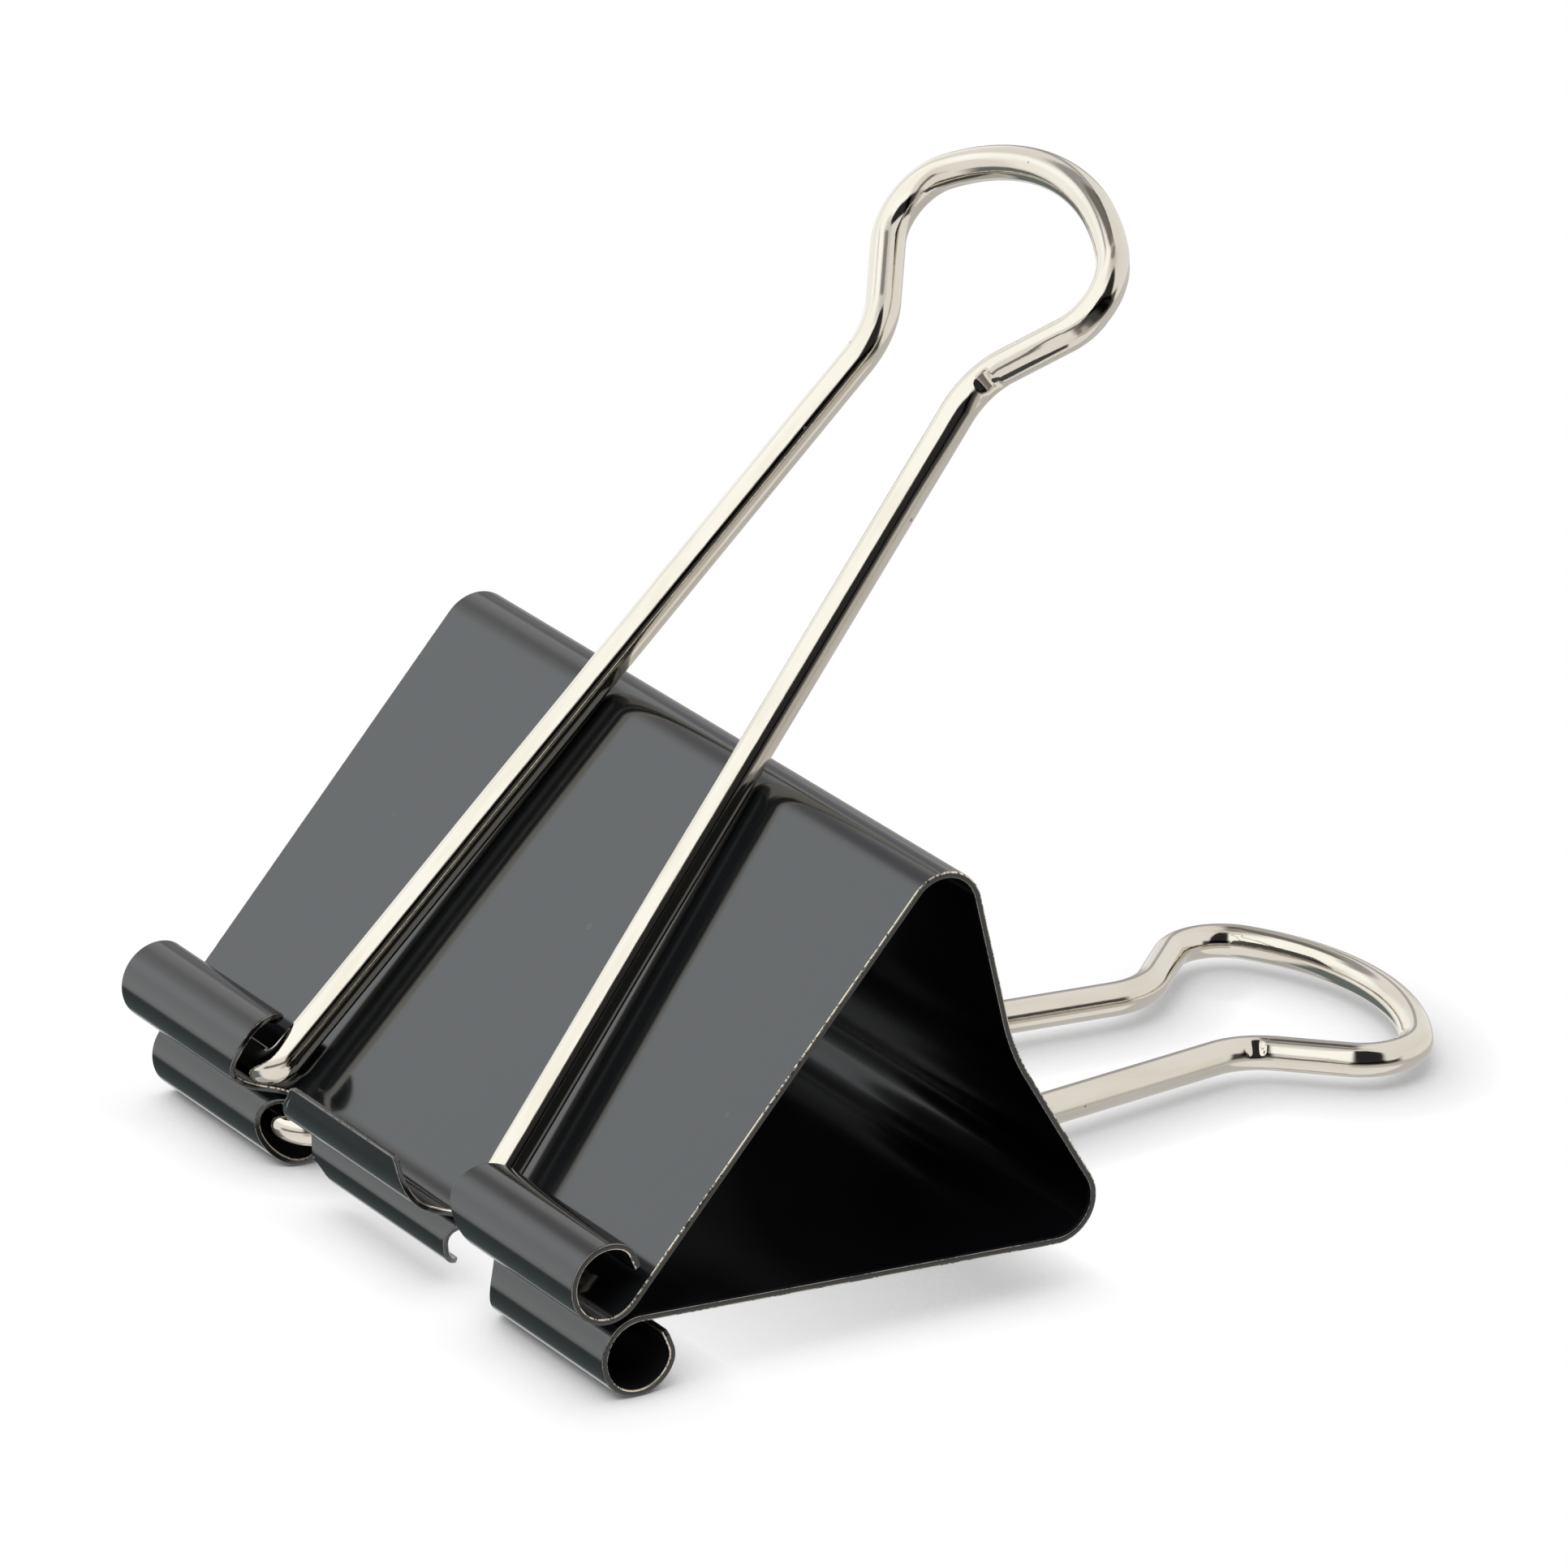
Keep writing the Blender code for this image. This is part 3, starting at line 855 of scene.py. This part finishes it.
lacquer, tree, shader = new_material("black_lacquer")
place = add_node(tree, "ShaderNodeTexCoord").outputs["Object"]
worn = grouped(tree, wear_group, {"Vector": place, "Edge": attribute(tree, "arris"), **WEAR})["Mask"]
touched = grouped(tree, smear_group, {"Vector": place})
dust = grouped(tree, speck_group, {"Vector": place, **DUST_SPECKS})["Mask"]
colour = mix_colour(tree, touched["Haze"], LACQUER, LACQUER_SMEARED)
colour = mix_colour(tree, calc(tree, "MULTIPLY", dust, DUST_STRENGTH), colour, DUST)
rough = calc(tree, "ADD", LACQUER_ROUGH, calc(tree, "MULTIPLY", touched["Haze"], SMEAR_ROUGH))
rough = calc(tree, "ADD", rough, calc(tree, "MULTIPLY", attribute(tree, "cut"), CUT_ROUGH))
rough = calc(tree, "ADD", rough, calc(tree, "MULTIPLY", worn, WORN_ROUGH))
peel = calc(tree, "MULTIPLY", touched["Peel"], PEEL_HEIGHT)
height = calc(tree, "SUBTRACT", peel, calc(tree, "MULTIPLY", worn, WORN_DEPTH))
fill(tree, shader.inputs, {"Base Color": mix_colour(tree, worn, colour, BARE_STEEL), "Metallic": worn,
                           "Roughness": rough, "IOR": LACQUER_INDEX,
                           "Normal": bumped(tree, height, *PEEL_BUMP)})

# %% [markdown]
# ## Lacquer inside the fold
# The inside of the fold and the bores of the tubes get a second material whose base colour is darker
# than the outer lacquer: that is painted shade, standing for the shade that falls inside the fold. Its
# lower index makes it mirror little and keeps it deep black, as in the photograph. The faces are found
# by their number: first come the outer faces of the main grid, the tabs and the lip, then the inner
# ones. The bores are also rough, so they mirror nothing.

# %% Inside material
# Painted shade: both inside colours are darker than the outer lacquer, for the shade inside the fold and
# the bores.
INNER_PAINTED_SHADE = (0.0022, 0.0022, 0.0030, 1)
INNER_SMEARED_PAINTED_SHADE = (0.0032, 0.0032, 0.0040, 1)
INNER_INDEX = 1.42
INNER_ROUGH, INNER_SMEAR_ROUGH, BORE_ROUGH = 0.12, 0.06, 0.45

shaded_inner_lacquer, tree, shader = new_material("black_lacquer_inside_painted_shade")
place = add_node(tree, "ShaderNodeTexCoord").outputs["Object"]
haze = grouped(tree, smear_group, {"Vector": place})["Haze"]
rough = calc(tree, "ADD", INNER_ROUGH, calc(tree, "MULTIPLY", haze, INNER_SMEAR_ROUGH))
rough = calc(tree, "ADD", rough, calc(tree, "MULTIPLY", attribute(tree, "bore"), BORE_ROUGH))
fill(tree, shader.inputs, {"Base Color": mix_colour(tree, haze, INNER_PAINTED_SHADE, INNER_SMEARED_PAINTED_SHADE),
                           "Roughness": rough, "IOR": INNER_INDEX})

main_faces, tab_faces, lip_faces = (len(quads(grid)) for grid in (main_grid, right_grid, lip_grid))
outer_count = main_faces + 2 * tab_faces + lip_faces
fold_faces = outer_count + np.arange(len(quads(main_grid[:len(back_rows)])))
bore_faces = main_faces + np.arange(tab_faces).reshape(-1, tab_count - 1)[BORE_FROM_ROW:].ravel()
inside_faces = np.concatenate([fold_faces, bore_faces, bore_faces + tab_faces])
for piece in (upper_sheet, lower_sheet):
    piece.data.materials.append(lacquer)
    piece.data.materials.append(shaded_inner_lacquer)
    paint = np.zeros(len(piece.data.polygons), np.int32)
    paint[inside_faces] = 1
    piece.data.polygons.foreach_set("material_index", paint)
    print(piece.name, "has", len(inside_faces), "faces inside the fold and the bores")

# %% [markdown]
# ## Nickel wire
# Bright nickel is a warm silver mirror. Its roughness grows a little where it has yellowed, the
# streaks of the die are a bump of a few thousandths of a millimetre, and pits are dark and dull. The
# two cut ends were sheared after plating, so they are dark bare steel with a rough grain.

# %% Wire materials
NICKEL = (0.745, 0.700, 0.615, 1)
NICKEL_YELLOWED = (0.700, 0.648, 0.545, 1)
PIT = (0.16, 0.13, 0.10, 1)
NICKEL_ROUGH, TARNISH_ROUGH, PIT_ROUGH = 0.055, 0.06, 0.25
CUT_DARK = (0.010, 0.008, 0.007, 1)
CUT_PALE = (0.035, 0.028, 0.022, 1)
CUT_GRAIN, GRAIN_ROUGH, GRAIN_SWING = 4000.0, 0.45, 0.2
STREAK_BUMP = (0.000005, 0.5)
PIT_SPECKS = {"Scale": 1500.0, "Share": 0.03, "Size": 0.16}
PIT_STRENGTH = 0.6
WIRE_ENDS = 2

nickel, tree, shader = new_material("nickel_wire")
place = add_node(tree, "ShaderNodeTexCoord").outputs["Object"]
own_uv = add_node(tree, "ShaderNodeUVMap", uv_map="wire").outputs[0]
spread = add_node(tree, "ShaderNodeSeparateXYZ", {0: own_uv}).outputs
drawn = grouped(tree, drawn_group, {"Along": spread[0], "Around": spread[1]})
pits = grouped(tree, speck_group, {"Vector": place, **PIT_SPECKS})["Mask"]
colour = mix_colour(tree, drawn["Tarnish"], NICKEL, NICKEL_YELLOWED)
colour = mix_colour(tree, calc(tree, "MULTIPLY", pits, PIT_STRENGTH), colour, PIT)
rough = calc(tree, "ADD", NICKEL_ROUGH, calc(tree, "MULTIPLY", drawn["Tarnish"], TARNISH_ROUGH))
rough = calc(tree, "ADD", rough, calc(tree, "MULTIPLY", pits, PIT_ROUGH))
height = calc(tree, "SUBTRACT", drawn["Streak"], pits)
fill(tree, shader.inputs, {"Base Color": colour, "Metallic": 1.0, "Roughness": rough,
                           "Normal": bumped(tree, height, *STREAK_BUMP)})

cut_steel, tree, shader = new_material("cut_steel")
place = add_node(tree, "ShaderNodeTexCoord").outputs["Object"]
grain = noise(tree, place, CUT_GRAIN, detail=3.0)
rough = calc(tree, "ADD", GRAIN_ROUGH, calc(tree, "MULTIPLY", grain, GRAIN_SWING))
fill(tree, shader.inputs, {"Base Color": mix_colour(tree, grain, CUT_DARK, CUT_PALE),
                           "Metallic": 1.0, "Roughness": rough})
for piece in (upper_wire, lower_wire):
    piece.data.materials.append(nickel)
    piece.data.materials.append(cut_steel)
    paint = np.zeros(len(piece.data.polygons), np.int32)
    paint[-WIRE_ENDS:] = 1
    piece.data.polygons.foreach_set("material_index", paint)

# %% [markdown]
# ## The studio
# Gloss black and nickel are drawn by what stands round them. In the photograph that is a white tent
# with a brighter front panel, black flags at the right, which give the wire its dark stripes, and
# grey card low down. Here the tent is one even light, and each panel or flag multiplies a soft
# window of it. A window has its azimuth (0 straight in front of the jaws, growing to the left seen
# from there), its elevation, the softness of both, and a colour. Only what a surface mirrors sees
# these panels. The camera sees white, and the paint's own colour gets a plain grey light.

# %% World
TENT = 0.95
PLAIN_LIGHT = (0.20, 0.20, 0.20, 1)
WHITE = (1, 1, 1, 1)
PANELS = {
    "bright front panel": ((-52, 70), (19, 66), (8, 6), (1.36, 1.40, 1.41)),
    "low front panel": ((42, 112), (-13, 19), (6, 5), (1.22, 1.24, 1.25)),
    "cool card": ((50, 70), (20, 30), (5, 3), (1.00, 1.018, 1.045)),
    "black flag": ((-103, -52), (6, 77), (5, 5), (0.03, 0.03, 0.03)),
    "low black flag": ((-122, -46), (-4, 22), (6, 5), (0.08, 0.08, 0.08)),
    "grey bar": ((60, 118), (37, 46), (6, 2.5), (0.42, 0.41, 0.44)),
    "dark corner": ((77, 128), (46, 69), (6, 3), (0.22, 0.21, 0.20)),
    "upright pole": ((119, 127), (0, 66), (2, 5), (0.50, 0.50, 0.52)),
    "dark room behind": ((114, 136), (-14, 8), (5, 4), (0.58, 0.57, 0.56)),
    "lamp hood": ((48, 140), (70, 88), (8, 5), (0.38, 0.37, 0.37)),
    "tent top": ((-400, 400), (76, 100), (1, 6), (0.80, 0.80, 0.80)),
    "table edge": ((-125, 12), (-11, 0), (6, 3), (0.22, 0.21, 0.20)),
    "table at the right": ((-135, -46), (-30, -8), (8, 5), (0.62, 0.60, 0.57)),
    "dark table front": ((20, 104), (-50, -19), (8, 3), (0.17, 0.20, 0.205)),
    "table front": ((20, 104), (-95, -50), (8, 6), (0.50, 0.51, 0.52)),
    "table at the left": ((113, 400), (-95, -12), (5, 5), (0.65, 0.65, 0.66)),
    "table behind": ((-400, -135), (-95, -12), (5, 5), (0.65, 0.65, 0.66)),
}

world = bpy.data.worlds.new("studio")
bpy.context.scene.world = world
world.use_nodes = True
tree = world.node_tree
tree.nodes.clear()
look_way = add_node(tree, "ShaderNodeTexCoord").outputs["Generated"]
parts = add_node(tree, "ShaderNodeSeparateXYZ", {0: look_way}).outputs
leftwards = calc(tree, "MULTIPLY", parts[0], -1.0)
forwards = calc(tree, "MULTIPLY", parts[1], -1.0)
azimuth = calc(tree, "DEGREES", calc(tree, "ARCTAN2", leftwards, forwards))
elevation = calc(tree, "DEGREES", calc(tree, "ARCSINE", parts[2]))


def window(value, ends, soft):
    """1 between the ends and 0 outside, with soft shoulders."""
    rise = ramp(tree, value, ends[0] - soft, ends[0] + soft)
    return calc(tree, "MULTIPLY", rise, ramp(tree, value, ends[1] - soft, ends[1] + soft, 1.0, 0.0))


light = (TENT, TENT, TENT, 1)
for sides, heights, soft, colour in PANELS.values():
    share = calc(tree, "MULTIPLY", window(azimuth, sides, soft[0]), window(elevation, heights, soft[1]))
    light = mix_colour(tree, 1.0, light, mix_colour(tree, share, WHITE, (*colour, 1)), "MULTIPLY")
path = add_node(tree, "ShaderNodeLightPath").outputs
shown = mix_colour(tree, path["Is Glossy Ray"], PLAIN_LIGHT, light)
shown = mix_colour(tree, path["Is Camera Ray"], shown, WHITE)
background = add_node(tree, "ShaderNodeBackground", {"Color": shown})
add_node(tree, "ShaderNodeOutputWorld", {"Surface": background.outputs[0]})
print("the tent has", len(PANELS), "panels and flags")

# %% [markdown]
# ## The key lamp
# One large soft lamp from above and in front gives the paint and the worn edges their light. It is
# hidden from mirrored rays, because the panels of the tent already stand for it there.

# %% Key lamp
KEY_ENERGY = 2.6
KEY_ANGLE = math.radians(36.0)
KEY_FROM = Vector((0.27, -0.45, 1.0))

key = bpy.data.objects.new("key", bpy.data.lights.new("key", "SUN"))
bpy.context.scene.collection.objects.link(key)
key.data.energy = KEY_ENERGY
key.data.angle = KEY_ANGLE
key.rotation_euler = KEY_FROM.to_track_quat("Z", "Y").to_euler()
key.visible_glossy = False
print("key lamp stands at", round(math.degrees(math.asin(KEY_FROM.normalized().z))), "degrees of height")

# %% [markdown]
# ## The floor
# The clip lies on white paper, and the only thing to see of it is the soft shadow close to the clip.
# The floor is a grey veil whose opacity is how much of the sky is hidden near each point, so it is
# clear where nothing is near. That matters for the poses: the back stays where it is when the clip
# opens, so the swung handles dip below the paper, and they still show. The measured side leans away
# from the viewer, which puts the shadow at the lower right.

# %% Floor
FLOOR_HALF = 3000.0
FLOOR_DROP = 0.02
SHADOW_REACH = 4.5
SHADOW_DEPTH = 1.15
SHADOW_LEAN = Vector((-0.55, -0.12, 1.0)).normalized()
SHADOW_GREY = (0.40, 0.40, 0.41, 1)

square = np.array([[-1, -1, 0], [1, -1, 0], [1, 1, 0], [-1, 1, 0]]) * FLOOR_HALF
floor = add_mesh("floor", square - np.array([0, 0, FLOOR_DROP]), [np.arange(4)])
floor.visible_glossy = False
floor.visible_diffuse = False
floor.visible_shadow = False
paper, tree, shader = new_material("paper_shadow")
lean = add_node(tree, "ShaderNodeCombineXYZ", dict(enumerate(SHADOW_LEAN))).outputs[0]
open_sky = add_node(tree, "ShaderNodeAmbientOcclusion", {"Distance": SHADOW_REACH * MM, "Normal": lean})
hidden = calc(tree, "SUBTRACT", 1.0, open_sky.outputs["AO"])
opacity = calc(tree, "MINIMUM", calc(tree, "MULTIPLY", hidden, SHADOW_DEPTH), 1.0)
fill(tree, shader.inputs, {"Base Color": SHADOW_GREY, "Roughness": 1.0, "Specular IOR Level": 0.0,
                           "Alpha": opacity})
floor.data.materials.append(paper)
